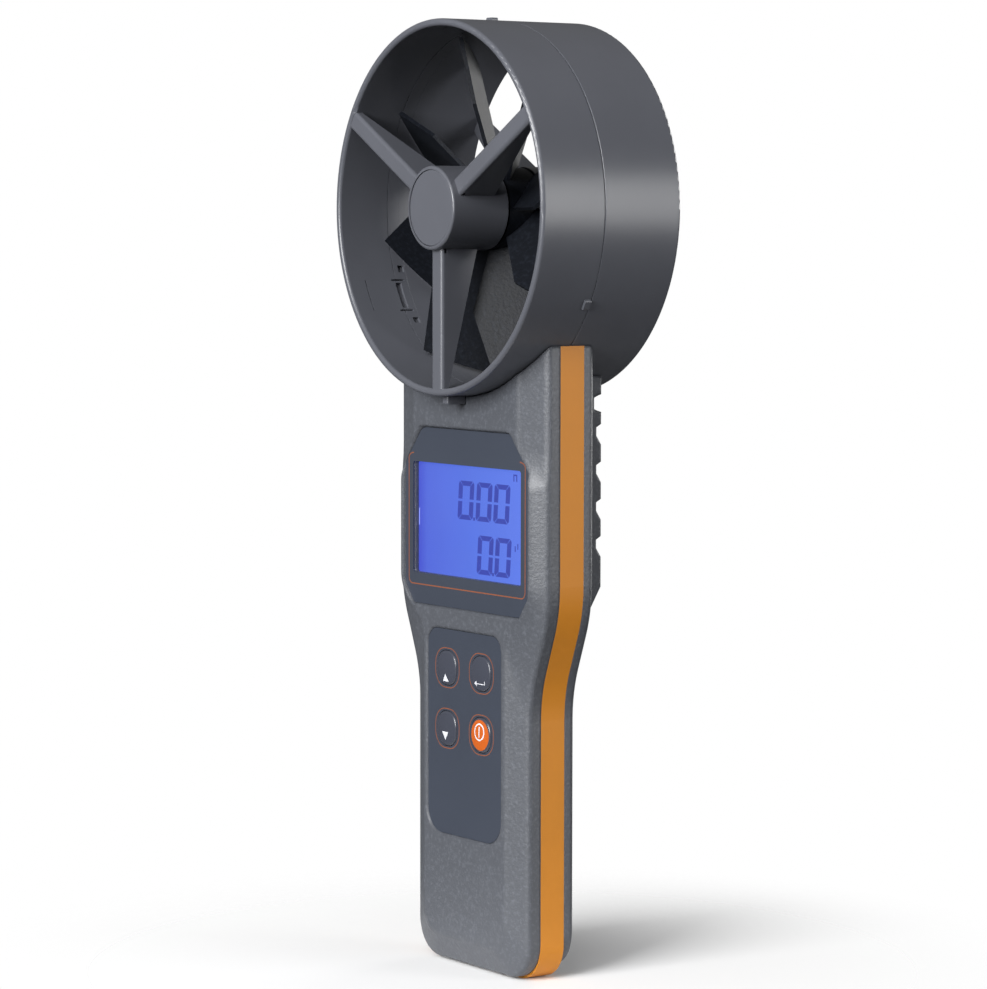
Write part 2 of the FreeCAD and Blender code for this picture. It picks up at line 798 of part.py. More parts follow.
def key(x, z):
    # A domed cap on a flange that holds it behind the casing, and a stem that presses the dome.
    face = frontFaceY + padRecess - keyProud
    flangeY = frontFaceY + frontSkin + keyFlangeGap
    cap = plate(keyCorners(x, z, 0.0), face - 0.1, flangeY + 0.01)
    cap = cap.common(Part.makeSphere(keyDomeR, vec(x, face + keyDomeR, z)))
    rim = [edge for edge in cap.Edges if face < edge.CenterOfMass.y < face + keyProud]
    rim = [edge for edge in rim if edge.BoundBox.YLength < 0.4]
    cap = cap.makeFillet(keyEdgeRound, rim)
    flange = plate(keyCorners(x, z, keyFlange), flangeY, flangeY + keyFlangeThick)
    stem = rodY(keyStemR, flangeY, boardY - domeThick - keyTravel - 0.1, x, z)
    return cap.fuse([flange, stem])


def cells():
    made = []
    zMiddle = (bayBottomZ + bayTopZ) / 2.0
    for i in range(cellCount):
        x = (i - (cellCount - 1) / 2.0) * cellPitch
        up = i % 2 == 0
        low = zMiddle - cellLength / 2.0
        high = zMiddle + cellLength / 2.0
        if up:
            can = rodZ(cellR, low, high - cellTip, x, cellY)
            tip = rodZ(cellTipR, high - cellTip - 1.0, high, x, cellY)
        else:
            can = rodZ(cellR, low + cellTip, high, x, cellY)
            tip = rodZ(cellTipR, low, low + cellTip + 1.0, x, cellY)
        made.append(can.fuse(tip))
    return Part.makeCompound(made)


def contactPlates():
    plates = []
    for z in (bayBottomZ, bayTopZ - 0.5):
        for i in range(cellCount):
            x = (i - (cellCount - 1) / 2.0) * cellPitch
            plates.append(box(x - 3.8, x + 3.8, cellY - 3.8, cellY + 3.8, z, z + 0.5))
    return Part.makeCompound(plates)


def contactSprings():
    # Each coil is a plain tube of the coil's size.
    springs = []
    zMiddle = (bayBottomZ + bayTopZ) / 2.0
    low = zMiddle - cellLength / 2.0
    high = zMiddle + cellLength / 2.0
    for i in range(cellCount):
        x = (i - (cellCount - 1) / 2.0) * cellPitch
        z0, z1 = (bayBottomZ + 0.5, low) if i % 2 == 0 else (high, bayTopZ - 0.5)
        coil = rodZ(springR, z0, z1, x, cellY)
        springs.append(coil.cut(rodZ(springR - springWire, z0 - 1.0, z1 + 1.0, x, cellY)))
    return Part.makeCompound(springs)


def screwAlongY(headY, endY, x, z):
    # Pan head at headY facing +Y, shank running to endY.
    head = rodY(screwHeadR, headY, headY + screwHeadHeight, x, z)
    top = headY + screwHeadHeight
    head = head.makeFillet(0.5, [edge for edge in head.Edges if abs(edge.CenterOfMass.y - top) < 0.01])
    body = head.fuse(rodY(screwR - 0.17, endY, headY + 0.1, x, z))
    cross = []
    for halfX, halfZ in ((1.6, 0.35), (0.35, 1.6)):
        cross.append(box(x - halfX, x + halfX, top - 0.8, top + 0.5, z - halfZ, z + halfZ))
    return body.cut(cross)


def caseScrewSet():
    headY = rearShoulderY - screwSink
    return Part.makeCompound([screwAlongY(headY, frontShoulderY + 1.0, x, z) for x, z in caseScrews])


def lugScrew():
    screw = screwAlongY(0.0, -8.0, 0.0, lugScrewZ)
    screw.rotate(vec(0, 0, lugScrewZ), vec(0, 0, 1), 180)
    screw.translate(vec(0, -lugThick - 3.0, 0))
    return screw


def tripodSocket():
    y0 = backY - socketLength
    body = rodY(socketBodyR - 0.02, y0, backY - 0.1, 0.0, socketZ)
    return body.cut(rodY(socketR, y0 + 1.0, backY + 1.0, 0.0, socketZ))


def pickupBoard():
    y0 = -chamberEndY + 0.05
    disc = rodY(hubR - hubWall - 0.3, y0, y0 + 1.2, 0.0, ringZ)
    chip = box(-2.0, 2.0, y0 - 1.0, y0 + 0.1, ringZ + 3.6, ringZ + 6.4)
    return disc.fuse(chip).cut(rodZ(leadR + 0.1, ringZ - 20.0, ringZ - 6.0, 0.0, leadY))


def sensorLead():
    # From the pick-up board down the rear lower spoke, behind the lug, then forward to the board's socket.
    route = [
        (leadY, ringZ - 6.5),
        (leadY, ringZ - ringOuterR - 4.0),
        (leadBackY, ringZ - ringOuterR - 8.6),
        (leadBackY, leadLowZ),
        (boardY + boardThick + 4.0, leadLowZ),
    ]
    edges = []
    start = route[0]
    for i in range(1, len(route) - 1):
        before, corner, after = route[i - 1], route[i], route[i + 1]
        lengthIn = math.hypot(before[0] - corner[0], before[1] - corner[1])
        lengthOut = math.hypot(after[0] - corner[0], after[1] - corner[1])
        inY, inZ = (before[0] - corner[0]) / lengthIn, (before[1] - corner[1]) / lengthIn
        outY, outZ = (after[0] - corner[0]) / lengthOut, (after[1] - corner[1]) / lengthOut
        half = (math.pi - math.acos(inY * outY + inZ * outZ)) / 2.0
        reach = leadBend * math.tan(half)
        sag = leadBend * (1.0 / math.cos(half) - 1.0)
        size = math.hypot(inY + outY, inZ + outZ)
        first = (corner[0] + inY * reach, corner[1] + inZ * reach)
        middle = (corner[0] + (inY + outY) / size * sag, corner[1] + (inZ + outZ) / size * sag)
        last = (corner[0] + outY * reach, corner[1] + outZ * reach)
        edges.append(Part.makeLine(vec(0, *start), vec(0, *first)))
        edges.append(Part.Arc(vec(0, *first), vec(0, *middle), vec(0, *last)).toShape())
        start = last
    edges.append(Part.makeLine(vec(0, *start), vec(0, *route[-1])))
    circle = Part.Wire([Part.makeCircle(leadR, vec(0, *route[0]), vec(0, 0, 1))])
    return Part.Wire(edges).makePipeShell([circle], True, False)


def write(name, shape):
    if len(shape.Solids) == 1:
        shape = shape.removeSplitter()
    if not shape.isValid():
        print("invalid shape in", name)
    shape.exportStep("parts/" + name + ".step")
    print(name, len(shape.Solids), "solids", round(shape.Volume, 1), "mm3")


os.makedirs("parts", exist_ok=True)
nodes = {
    "front_shroud": frontShroud(),
    "rear_shroud": rearShroud(),
    "front_hub_cap": hubCap(),
    "rear_hub_cap": mirroredY(hubCap()),
    "front_bearing": bearing(),
    "rear_bearing": mirroredY(bearing()),
    "rotor_shaft": shaft(),
    "vane_wheel": vaneWheel(),
    "rotor_magnet": magnet(),
    "pickup_board": pickupBoard(),
    "sensor_lead": sensorLead(),
    "front_casing": frontCasing(),
    "side_band": sideBand(),
    "rear_casing": rearCasing(),
    "battery_cover": batteryCover(),
    "display_bezel": displayBezel(),
    "display_window": displayWindow(),
    "lcd_panel": lcdPanel(),
    "lcd_backlight": lcdBacklight(),
    "lcd_connectors": lcdConnectors(),
    "main_board": mainBoard(),
    "board_parts": boardParts(),
    "lead_socket": leadSocket(),
    "buzzer": buzzer(),
    "key_domes": keyDomes(),
    "keypad_panel": keypadPanel(),
    "battery_cells": cells(),
    "contact_plates": contactPlates(),
    "contact_springs": contactSprings(),
    "case_screws": caseScrewSet(),
    "shroud_screw": lugScrew(),
    "tripod_socket": tripodSocket(),
}
for keyName, (keyPlaceX, keyPlaceZ) in keyPlaces().items():
    nodes[keyName] = key(keyPlaceX, keyPlaceZ)
for nodeName, nodeShape in nodes.items():
    write(nodeName, nodeShape)
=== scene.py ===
import bpy
import bmesh
import math
from mathutils import Matrix, Vector


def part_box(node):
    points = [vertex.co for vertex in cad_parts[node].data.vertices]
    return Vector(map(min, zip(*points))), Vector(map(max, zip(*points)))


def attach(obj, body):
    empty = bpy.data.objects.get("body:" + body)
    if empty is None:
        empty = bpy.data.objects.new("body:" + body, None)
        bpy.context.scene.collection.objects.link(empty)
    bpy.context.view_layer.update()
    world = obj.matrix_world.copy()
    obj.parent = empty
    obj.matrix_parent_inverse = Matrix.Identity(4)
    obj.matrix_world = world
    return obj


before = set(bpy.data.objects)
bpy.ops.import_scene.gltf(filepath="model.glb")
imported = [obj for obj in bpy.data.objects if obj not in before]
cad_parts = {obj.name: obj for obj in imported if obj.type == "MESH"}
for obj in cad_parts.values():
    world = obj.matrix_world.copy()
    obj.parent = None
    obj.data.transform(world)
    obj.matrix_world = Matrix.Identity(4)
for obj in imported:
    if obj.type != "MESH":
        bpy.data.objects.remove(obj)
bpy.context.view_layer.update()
mm = 0.001
print("frame loaded:", len(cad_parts), "nodes")


class Val:
    # A node's socket that can stand in a sum: each operator adds one Math node.
    def __init__(self, nodes, socket):
        self.nodes = nodes
        self.socket = socket

    def mathNode(self, operation, first, second):
        return self.nodes.node("ShaderNodeMath", {"operation": operation}, {0: first, 1: second})["Value"]

    def __add__(self, other):
        return self.mathNode("ADD", self, other)

    def __radd__(self, other):
        return self.mathNode("ADD", other, self)

    def __sub__(self, other):
        return self.mathNode("SUBTRACT", self, other)

    def __rsub__(self, other):
        return self.mathNode("SUBTRACT", other, self)

    def __mul__(self, other):
        return self.mathNode("MULTIPLY", self, other)

    def __rmul__(self, other):
        return self.mathNode("MULTIPLY", other, self)

    def __truediv__(self, other):
        return self.mathNode("DIVIDE", self, other)

    def __rtruediv__(self, other):
        return self.mathNode("DIVIDE", other, self)

    def __pow__(self, other):
        return self.mathNode("POWER", self, other)

    def __rpow__(self, other):
        return self.mathNode("POWER", other, self)


class Nodes:
    # One node tree, emptied, and the one way to make a node in it.
    def __init__(self, owner):
        owner.use_nodes = True
        self.tree = owner.node_tree
        self.tree.nodes.clear()

    def put(self, socket, value):
        if isinstance(value, Val):
            self.tree.links.new(value.socket, socket)
        elif value is not None:
            socket.default_value = value

    def node(self, kind, settings=None, sockets=None):
        made = self.tree.nodes.new(kind)
        for key, value in (settings or {}).items():
            if key == "stops":
                self.setStops(made.color_ramp, value)
            else:
                setattr(made, key, value)
        for socket, value in (sockets or {}).items():
            self.put(made.inputs[socket], value)
        outs = {socket.name: Val(self, socket) for socket in made.outputs}
        outs.update({number: Val(self, socket) for number, socket in enumerate(made.outputs)})
        return outs

    def setStops(self, ramp, stops):
        while len(ramp.elements) < len(stops):
            ramp.elements.new(0.5)
        for element, (position, colour) in zip(ramp.elements, stops):
            element.position = position
            element.color = (*colour, 1.0) if isinstance(colour, tuple) else (colour, colour, colour, 1.0)


class Finish(Nodes):
    # A material with one Principled shader: numbers go on its sockets, what varies is linked to them.
    def __init__(self, name, **constants):
        self.material = bpy.data.materials.new(name)
        super().__init__(self.material)
        self.shader = self.tree.nodes.new("ShaderNodeBsdfPrincipled")
        surface = self.tree.nodes.new("ShaderNodeOutputMaterial")
        self.tree.links.new(self.shader.outputs[0], surface.inputs["Surface"])
        self.place = self.node("ShaderNodeTexCoord")["Object"]
        self.set(**constants)

    def set(self, **values):
        for name, value in values.items():
            self.put(self.shader.inputs[name.replace("_", " ")], value)
        return self.material

    def noise(self, scale, detail=2.0, rough=0.5):
        sockets = {"Vector": self.place, "Scale": scale, "Detail": detail, "Roughness": rough}
        return self.node("ShaderNodeTexNoise", {}, sockets)["Fac"]

    def ramp(self, value, stops):
        return self.node("ShaderNodeValToRGB", {"stops": stops}, {0: value})["Color"]

    def colour(self, share, first, second):
        first, second = ((*c, 1.0) if isinstance(c, tuple) else c for c in (first, second))
        return self.node("ShaderNodeMix", {"data_type": "RGBA"}, {0: share, 6: first, 7: second})[2]

    def bump(self, height, strength, distance, normal=None):
        sockets = {"Height": height, "Strength": strength, "Distance": distance, "Normal": normal}
        return self.node("ShaderNodeBump", {}, sockets)["Normal"]


def dress(material, *nodeNames):
    for name in nodeNames:
        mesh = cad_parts[name].data
        mesh.materials.clear()
        mesh.materials.append(material)


camera = {"azimuth": 55.70, "elevation": 4.15, "roll": 0.08, "distance": 1.030, "lens": 133.3,
          "aimRight": 0.0165, "aimDown": 0.0806, "hubProud": 1.6 * mm}


def makeCamera():
    # The camera goes round the middle of the ring's front face.
    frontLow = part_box("front_shroud")[0]
    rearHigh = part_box("rear_shroud")[1]
    ringFace = Vector((0, frontLow.y + camera["hubProud"], rearHigh.z - rearHigh.x))
    turn, lift, roll = (math.radians(camera[key]) for key in ("azimuth", "elevation", "roll"))
    back = Vector((math.sin(turn) * math.cos(lift), -math.cos(turn) * math.cos(lift), math.sin(lift)))
    right = Vector((math.cos(turn), math.sin(turn), 0))
    up = back.cross(right)
    right, up = (right * math.cos(roll) + up * math.sin(roll), up * math.cos(roll) - right * math.sin(roll))
    place = ringFace + back * camera["distance"] + right * camera["aimRight"] - up * camera["aimDown"]
    data = bpy.data.cameras.new("meterCamera")
    data.lens = camera["lens"]
    data.sensor_width = 36.0
    data.clip_end = 20.0
    made = bpy.data.objects.new("meterCamera", data)
    made.matrix_world = Matrix((
        (right.x, up.x, back.x, place.x),
        (right.y, up.y, back.y, place.y),
        (right.z, up.z, back.z, place.z),
        (0, 0, 0, 1)))
    bpy.context.scene.collection.objects.link(made)
    bpy.context.scene.camera = made


makeCamera()

lamps = {
    "softFront": {"from": (0.36, -1.32, 0.60), "size": 0.8, "watts": 39.0},
    "softTop": {"from": (0.60, -0.75, 1.20), "size": 0.6, "watts": 4.0},
    "sideRight": {"from": (1.15, 0.68, 0.30), "size": 0.55, "watts": 6.5},
    "backFill": {"from": (-0.45, 1.45, 0.35), "size": 0.7, "watts": 7.0},
}
lampTarget = Vector((0, 0, 0.15))


def makeLamps():
    for name, lamp in lamps.items():
        data = bpy.data.lights.new(name, "AREA")
        data.size = lamp["size"]
        data.energy = lamp["watts"]
        made = bpy.data.objects.new(name, data)
        place = Vector(lamp["from"])
        aim = (place - lampTarget).to_track_quat("Z", "Y").to_matrix().to_4x4()
        made.matrix_world = Matrix.Translation(place) @ aim
        bpy.context.scene.collection.objects.link(made)


makeLamps()

studio = {"backdrop": (1.0, 1.0, 1.0), "dome": (0.8, 0.8, 0.8), "domeAbove": 0.24, "domeBelow": 0.06,
          "domeLow": -0.4, "domeHigh": 0.9, "floorHalf": 1.2, "floorSolid": 0.02, "floorEdge": 0.17}


def makeWorld():
    # The camera sees an even white; the object is lit by a dome that is brighter above.
    world = bpy.data.worlds.new("studio")
    sky = Nodes(world)
    height = sky.node("ShaderNodeSeparateXYZ", {}, {0: sky.node("ShaderNodeTexCoord")["Generated"]})["Z"]
    strength = sky.node("ShaderNodeMapRange", {}, {
        "Value": height, "From Min": studio["domeLow"], "From Max": studio["domeHigh"],
        "To Min": studio["domeBelow"], "To Max": studio["domeAbove"]})["Result"]
    dome = sky.node("ShaderNodeBackground", {}, {"Color": (*studio["dome"], 1.0), "Strength": strength})[0]
    backdrop = sky.node("ShaderNodeBackground", {}, {"Color": (*studio["backdrop"], 1.0), "Strength": 1.0})[0]
    cameraRay = sky.node("ShaderNodeLightPath")["Is Camera Ray"]
    both = sky.node("ShaderNodeMixShader", {}, {0: cameraRay, 1: dome, 2: backdrop})[0]
    sky.node("ShaderNodeOutputWorld", {}, {"Surface": both})
    bpy.context.scene.world = world
    bpy.context.scene.view_settings.view_transform = "Standard"


def makeFloor():
    # A pale floor that fades into the backdrop a short way from the object.
    half = studio["floorHalf"]
    mesh = bpy.data.meshes.new("studioFloor")
    corners = [(-half, -half, 0), (half, -half, 0), (half, half, 0), (-half, half, 0)]
    mesh.from_pydata(corners, [], [(0, 1, 2, 3)])
    floor = bpy.data.objects.new("studioFloor", mesh)
    bpy.context.scene.collection.objects.link(floor)
    finish = Finish("studioFloorPaper", Roughness=0.9)
    reach = finish.node("ShaderNodeVectorMath", {"operation": "LENGTH"}, {0: finish.place})["Value"]
    fade = finish.node("ShaderNodeMapRange", {"interpolation_type": "SMOOTHSTEP"}, {
        "Value": reach, "From Min": studio["floorSolid"], "From Max": studio["floorEdge"],
        "To Min": 1.0, "To Max": 0.0})["Result"]
    shade = finish.colour(finish.noise(3.0, 3.0), (0.90, 0.90, 0.90), (0.93, 0.93, 0.93))
    mesh.materials.append(finish.set(Base_Color=shade, Alpha=fade))


makeWorld()
makeFloor()
print("camera, light and floor made")

# The last entry sets how much lighter the painted glint specks are than the plastic.
grain = {"depth": 0.1 * mm, "patchScale": 40.0, "patch": 0.03, "roughSpread": 0.06, "glintLightness": 1.8}


def moulded(name, colour, rough, bump, scale, paintedGlint=0.0, eased=0.0, coat=0.0, shine=0.5):
    # Moulded plastic: fine grain, faint cloudy patches, lighter specks that are painted glints of light on
    # the grain, and edges eased by a radius.
    finish = Finish(name, Coat_Weight=coat, Coat_Roughness=0.25, Specular_IOR_Level=shine)
    fine = finish.noise(scale, 3.0, 0.6)
    cloudy = finish.noise(grain["patchScale"], 4.0, 0.6)
    dark, light, glintTone = (tuple(c * share for c in colour)
                          for share in (1 - grain["patch"], 1 + grain["patch"], grain["glintLightness"]))
    base = finish.colour(finish.ramp(cloudy, [(0.35, 0.0), (0.65, 1.0)]), dark, light)
    # Painted glints: lighter specks painted into the base colour where the grain would catch the light.
    if paintedGlint:
        spots = finish.ramp(finish.noise(scale * 0.8, 2.0, 0.7), [(0.50, 0.0), (0.70, 1.0)])
        base = finish.colour(spots * paintedGlint, base, glintTone)
    roughness = cloudy * grain["roughSpread"] + (rough - grain["roughSpread"] / 2)
    normal = finish.node("ShaderNodeBevel", {"samples": 4}, {"Radius": eased})["Normal"] if eased else None
    return finish.set(Base_Color=base, Roughness=roughness,
                      Normal=finish.bump(fine, bump, grain["depth"], normal))


keySlate = (0.044, 0.048, 0.064)
mouldings = {
    "casingGreyGrain": (["front_casing", "rear_casing", "battery_cover"],
                        {"colour": (0.070, 0.075, 0.087), "rough": 0.42, "bump": 1.0, "scale": 1150.0,
                         "paintedGlint": 0.45, "eased": 1.2 * mm}),
    "shroudGreySatin": (["front_shroud", "rear_shroud", "front_hub_cap", "rear_hub_cap"],
                        {"colour": (0.086, 0.090, 0.105), "rough": 0.30, "bump": 0.10, "scale": 3000.0}),
    "bandOrangeSatin": (["side_band"], {"colour": (0.55, 0.205, 0.016), "rough": 0.45, "bump": 0.15,
                                        "scale": 2600.0, "shine": 0.3}),
    "vaneDarkGrain": (["vane_wheel"], {"colour": (0.0050, 0.0060, 0.0085), "rough": 0.46, "bump": 1.0,
                                       "scale": 1000.0, "paintedGlint": 1.0, "shine": 0.12}),
    "panelSlateSatin": (["display_bezel", "keypad_panel"],
                        {"colour": (0.038, 0.045, 0.062), "rough": 0.36, "bump": 0.08, "scale": 3200.0}),
    "keySlate": (["key_up", "key_down", "key_enter"],
                 {"colour": keySlate, "rough": 0.26, "bump": 0.05, "scale": 3200.0}),
    "innerBlack": (["board_parts", "buzzer"],
                   {"colour": (0.02, 0.02, 0.02), "rough": 0.5, "bump": 0.4, "scale": 1800.0}),
    "boardGreen": (["main_board", "pickup_board"],
                   {"colour": (0.02, 0.16, 0.07), "rough": 0.35, "bump": 0.2, "scale": 1800.0, "coat": 0.3}),
    "connectorIvory": (["lead_socket", "lcd_backlight"],
                       {"colour": (0.75, 0.73, 0.65), "rough": 0.45, "bump": 0.2, "scale": 1800.0}),
    "cellJacket": (["battery_cells"],
                   {"colour": (0.06, 0.12, 0.32), "rough": 0.3, "bump": 0.1, "scale": 1800.0, "coat": 0.4}),
    "rubberBlack": (["sensor_lead", "lcd_connectors"],
                    {"colour": (0.03, 0.03, 0.03), "rough": 0.7, "bump": 0.5, "scale": 1800.0}),
}
for name, (nodeNames, look) in mouldings.items():
    dress(moulded(name, **look), *nodeNames)

metals = {
    "turnedSteel": (["rotor_shaft", "front_bearing", "rear_bearing", "key_domes", "contact_plates",
                     "contact_springs"], {"colour": (0.62, 0.62, 0.64), "rough": 0.32, "streak": 900.0}),
    "turnedBrass": (["tripod_socket"], {"colour": (0.72, 0.50, 0.20), "rough": 0.30, "streak": 900.0}),
    "screwBlackOxide": (["case_screws", "shroud_screw"],
                        {"colour": (0.05, 0.05, 0.055), "rough": 0.42, "streak": 1100.0}),
    "magnetNickel": (["rotor_magnet"], {"colour": (0.55, 0.55, 0.57), "rough": 0.22, "streak": 1500.0}),
}


def metal(name, colour, rough, streak):
    finish = Finish(name, Metallic=1.0)
    lines = finish.noise(streak, 5.0, 0.7)
    base = finish.colour(finish.noise(120.0, 3.0), tuple(c * 0.9 for c in colour), colour)
    return finish.set(Base_Color=base, Roughness=lines * 0.2 + (rough - 0.1),
                      Normal=finish.bump(lines, 0.2, 0.03 * mm))


for name, (nodeNames, look) in metals.items():
    dress(metal(name, **look), *nodeNames)

powerKey = {"discRadius": 4.3 * mm, "discEdge": 0.2 * mm, "rough": 0.24, "patchScale": 160.0,
            "grainScale": 3200.0, "orange": ((0.43, 0.085, 0.010), (0.49, 0.10, 0.014))}


def powerKeyRubber():
    # Slate like its neighbours, with a round orange face printed on the dome.
    finish = Finish("keyPowerOrange", Coat_Weight=0.2, Coat_Roughness=0.2)
    low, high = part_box("key_power")
    centre = (low + high) / 2
    axes = finish.node("ShaderNodeSeparateXYZ", {}, {0: finish.place})
    reach = ((axes["X"] - centre.x) ** 2.0 + (axes["Z"] - centre.z) ** 2.0) ** 0.5
    rim = powerKey["discRadius"]
    disc = finish.node("ShaderNodeMapRange", {}, {
        "Value": reach, "From Min": rim, "From Max": rim + powerKey["discEdge"],
        "To Min": 1.0, "To Max": 0.0})["Result"]
    fine = finish.noise(powerKey["grainScale"], 3.0, 0.6)
    cloudy = finish.noise(powerKey["patchScale"], 4.0, 0.6)
    base = finish.colour(disc, keySlate, finish.colour(cloudy, *powerKey["orange"]))
    return finish.set(Base_Color=base, Roughness=cloudy * 0.10 + powerKey["rough"],
                      Normal=finish.bump(fine, 0.05, grain["depth"]))


dress(powerKeyRubber(), "key_power")

backlight = {
    "glow": 1.0,
    "sweep": [(0.0, (0.025, 0.040, 0.60)), (0.08, (0.060, 0.115, 0.72)), (0.55, (0.074, 0.162, 0.79)),
              (1.0, (0.100, 0.195, 0.86))],
    "haze": (0.15, 0.24, 0.90), "segment": ((0.016, 0.032, 0.35), (0.024, 0.048, 0.43)),
    "leak": ((0.26, 0.33, 1.0), (0.36, 0.44, 1.0)), "unlit": ((0.010, 0.014, 0.04), (0.014, 0.018, 0.05)),
}


def displayBlue():
    # Backlit panel: deeper blue beside the lamp edge on the left, paler to the right and up.
    finish = Finish("displayBlue", Roughness=0.35, Emission_Strength=backlight["glow"])
    low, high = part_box("display_window")
    axes = finish.node("ShaderNodeSeparateXYZ", {}, {0: finish.place})
    across = (axes["X"] - low.x) / (high.x - low.x)
    upward = (axes["Z"] - low.z) / (high.z - low.z)
    sweep = finish.ramp(across, backlight["sweep"])
    cloudy = finish.noise(60.0, 2.0)
    glow = finish.colour(cloudy * 0.15 + upward * 0.10, sweep, backlight["haze"])
    return finish.set(Base_Color=finish.colour(cloudy, *backlight["unlit"]), Emission_Color=glow)


dress(displayBlue(), "lcd_panel")


def clearSheet():
    finish = Finish("clearWindow", Roughness=0.12, IOR=1.35)
    smear = finish.noise(90.0, 3.0)
    return finish.set(Base_Color=(0.10, 0.11, 0.14, 1.0), Alpha=smear * 0.04 + 0.05)


dress(clearSheet(), "display_window")


def ink(name, colour, rough):
    # Printed ink: even colour with faint thin spots.
    finish = Finish(name)
    thin = finish.noise(900.0, 3.0, 0.6)
    base = finish.colour(thin, tuple(c * 0.88 for c in colour), colour)
    return finish.set(Base_Color=base, Roughness=thin * 0.15 + rough,
                      Normal=finish.bump(thin, 0.1, 0.02 * mm))


def glowing(name, shades, scale, base, strength):
    finish = Finish(name, Base_Color=(*base, 1.0), Roughness=0.4, Emission_Strength=strength)
    return finish.set(Emission_Color=finish.colour(finish.noise(scale, 2.0), *shades))


outlineInk = ink("outlineOrangeBrown", (0.23, 0.076, 0.038), 0.35)
symbolInk = ink("symbolWhite", (0.64, 0.65, 0.69), 0.35)
segmentBlue = glowing("segmentBlue", backlight["segment"], 300.0, (0.01, 0.012, 0.05), backlight["glow"])
leakBlue = glowing("lightLeak", backlight["leak"], 400.0, (0.04, 0.05, 0.20), 1.0)
print("finishes made")

inkHigh = 0.03 * mm


def slabs(outlines, height, surface, cuts):
    # Thin raised shapes: each outline is a list of (x, z); surface gives y at a point; -Y is outwards.
    made = bmesh.new()
    for outline in outlines:
        made.faces.new([made.verts.new((x, 0, z)) for x, z in outline])
    if cuts:
        bmesh.ops.subdivide_edges(made, edges=made.edges[:], cuts=cuts, use_grid_fill=True)
        bmesh.ops.triangulate(made, faces=made.faces[:])
    rear = made.verts[:]
    grown = bmesh.ops.extrude_face_region(made, geom=made.faces[:])
    front = [item for item in grown["geom"] if isinstance(item, bmesh.types.BMVert)]
    for verts, offset in ((rear, height), (front, -height)):
        for vert in verts:
            vert.co.y = surface(vert.co.x, vert.co.z) + offset
    bmesh.ops.recalc_face_normals(made, faces=made.faces)
    return made


def addSlabs(name, outlines, surface, material, body, cuts=0):
    made = slabs(outlines, inkHigh, surface, cuts)
    mesh = bpy.data.meshes.new(name)
    made.to_mesh(mesh)
    made.free()
    mesh.materials.append(material)
    piece = bpy.data.objects.new(name, mesh)
    bpy.context.scene.collection.objects.link(piece)
    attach(piece, body)


def arc(cx, cz, wide, tall, start, steps=8):
    # A quarter turn of an ellipse, clockwise from the start angle in degrees.
    angles = [math.radians(start - 90 * i / steps) for i in range(steps + 1)]
    return [(cx + wide * math.cos(angle), cz + tall * math.sin(angle)) for angle in angles]


def rounded(halfWide, low, high, radius):
    # A rounded rectangle about x = 0 as (x, z), from its top right corner clockwise.
    across, top, bottom = halfWide - radius, high - radius, low + radius
    corners = ((across, top, 90), (across, bottom, 0), (-across, bottom, -90), (-across, top, -180))
    return [point for cx, cz, start in corners for point in arc(cx, cz, radius, radius, start)]


def ribbon(points, width, closed):
    # Quads along a line of (x, z) points.
    count = len(points)
    left, right = [], []
    for i, (x, z) in enumerate(points):
        before = points[i - 1] if i or closed else points[i]
        after = points[(i + 1) % count] if i < count - 1 or closed else points[i]
        along = Vector((after[0] - before[0], after[1] - before[1])).normalized()
        side = Vector((-along.y, along.x)) * width / 2
        left.append((x + side.x, z + side.y))
        right.append((x - side.x, z - side.y))
    last = count if closed else count - 1
    return [[left[i], left[(i + 1) % count], right[(i + 1) % count], right[i]] for i in range(last)]


def scaled(outlines, dx=0.0, dz=0.0):
    # Millimetres about a part's own middle to metres in the frame.
    return [[(dx + x * mm, dz + z * mm) for x, z in outline] for outline in outlines]


def flatOn(nodeName):
    # The flat front face of a node.
    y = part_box(nodeName)[0].y
    return lambda x, z: y


frameLine = {"half": 29.6, "low": 109.3, "top": 147.4, "radius": 1.8, "curl": 2.6, "curlRise": 1.56,
             "width": 0.34}


def displayOutline():
    # Runs down both sides and under the display, and turns in at the two upper ends.
    half, low, top, radius = (frameLine[key] for key in ("half", "low", "top", "radius"))
    curl, rise = frameLine["curl"], frameLine["curlRise"]
    path = arc(half - curl, top - rise, curl, rise, 90) + arc(half - radius, low + radius, radius, radius, 0)
    path += [(-x, z) for x, z in reversed(path)]
    addSlabs("display_outline", scaled(ribbon(path, frameLine["width"], False)), flatOn("display_bezel"),
             outlineInk, "housing")


displayOutline()

keyLine = {"half": 6.1, "tall": 5.7, "radius": 4.9, "width": 0.26}


def keyOutlines():
    loops = []
    for name in ("key_up", "key_enter", "key_down", "key_power"):
        low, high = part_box(name)
        middle = (low + high) / 2
        loop = rounded(keyLine["half"], -keyLine["tall"], keyLine["tall"], keyLine["radius"])
        loops += scaled(ribbon(loop, keyLine["width"], True), middle.x, middle.z)
    addSlabs("key_outlines", loops, flatOn("keypad_panel"), outlineInk, "housing")


keyOutlines()


def circleLine(radius, width, cz, steps=32):
    angles = [2 * math.pi * i / steps for i in range(steps)]
    points = [(radius * math.cos(angle), cz + radius * math.sin(angle)) for angle in angles]
    return ribbon(points, width, True)


domeRadius = 30.0 * mm  # the keys' domed faces
symbols = {
    "key_up": ("up_key", [[(-1.45, -3.9), (0.0, -1.7), (1.45, -3.9)]]),
    "key_down": ("down_key", [[(-1.5, -0.9), (1.5, -0.9), (0.0, -3.3)]]),
    "key_enter": ("enter_key", [[(-2.7, -2.9), (-1.5, -2.1), (-1.5, -3.7)],
                                [(-1.5, -2.78), (2.6, -2.78), (2.6, -3.02), (-1.5, -3.02)],
                                [(2.36, -2.78), (2.36, -1.9), (2.6, -1.9), (2.6, -2.78)]]),
    "key_power": ("power_key", circleLine(2.3, 0.44, 0.9) +
                  [[(-0.22, -0.6), (-0.22, 2.4), (0.22, 2.4), (0.22, -0.6)]]),
}


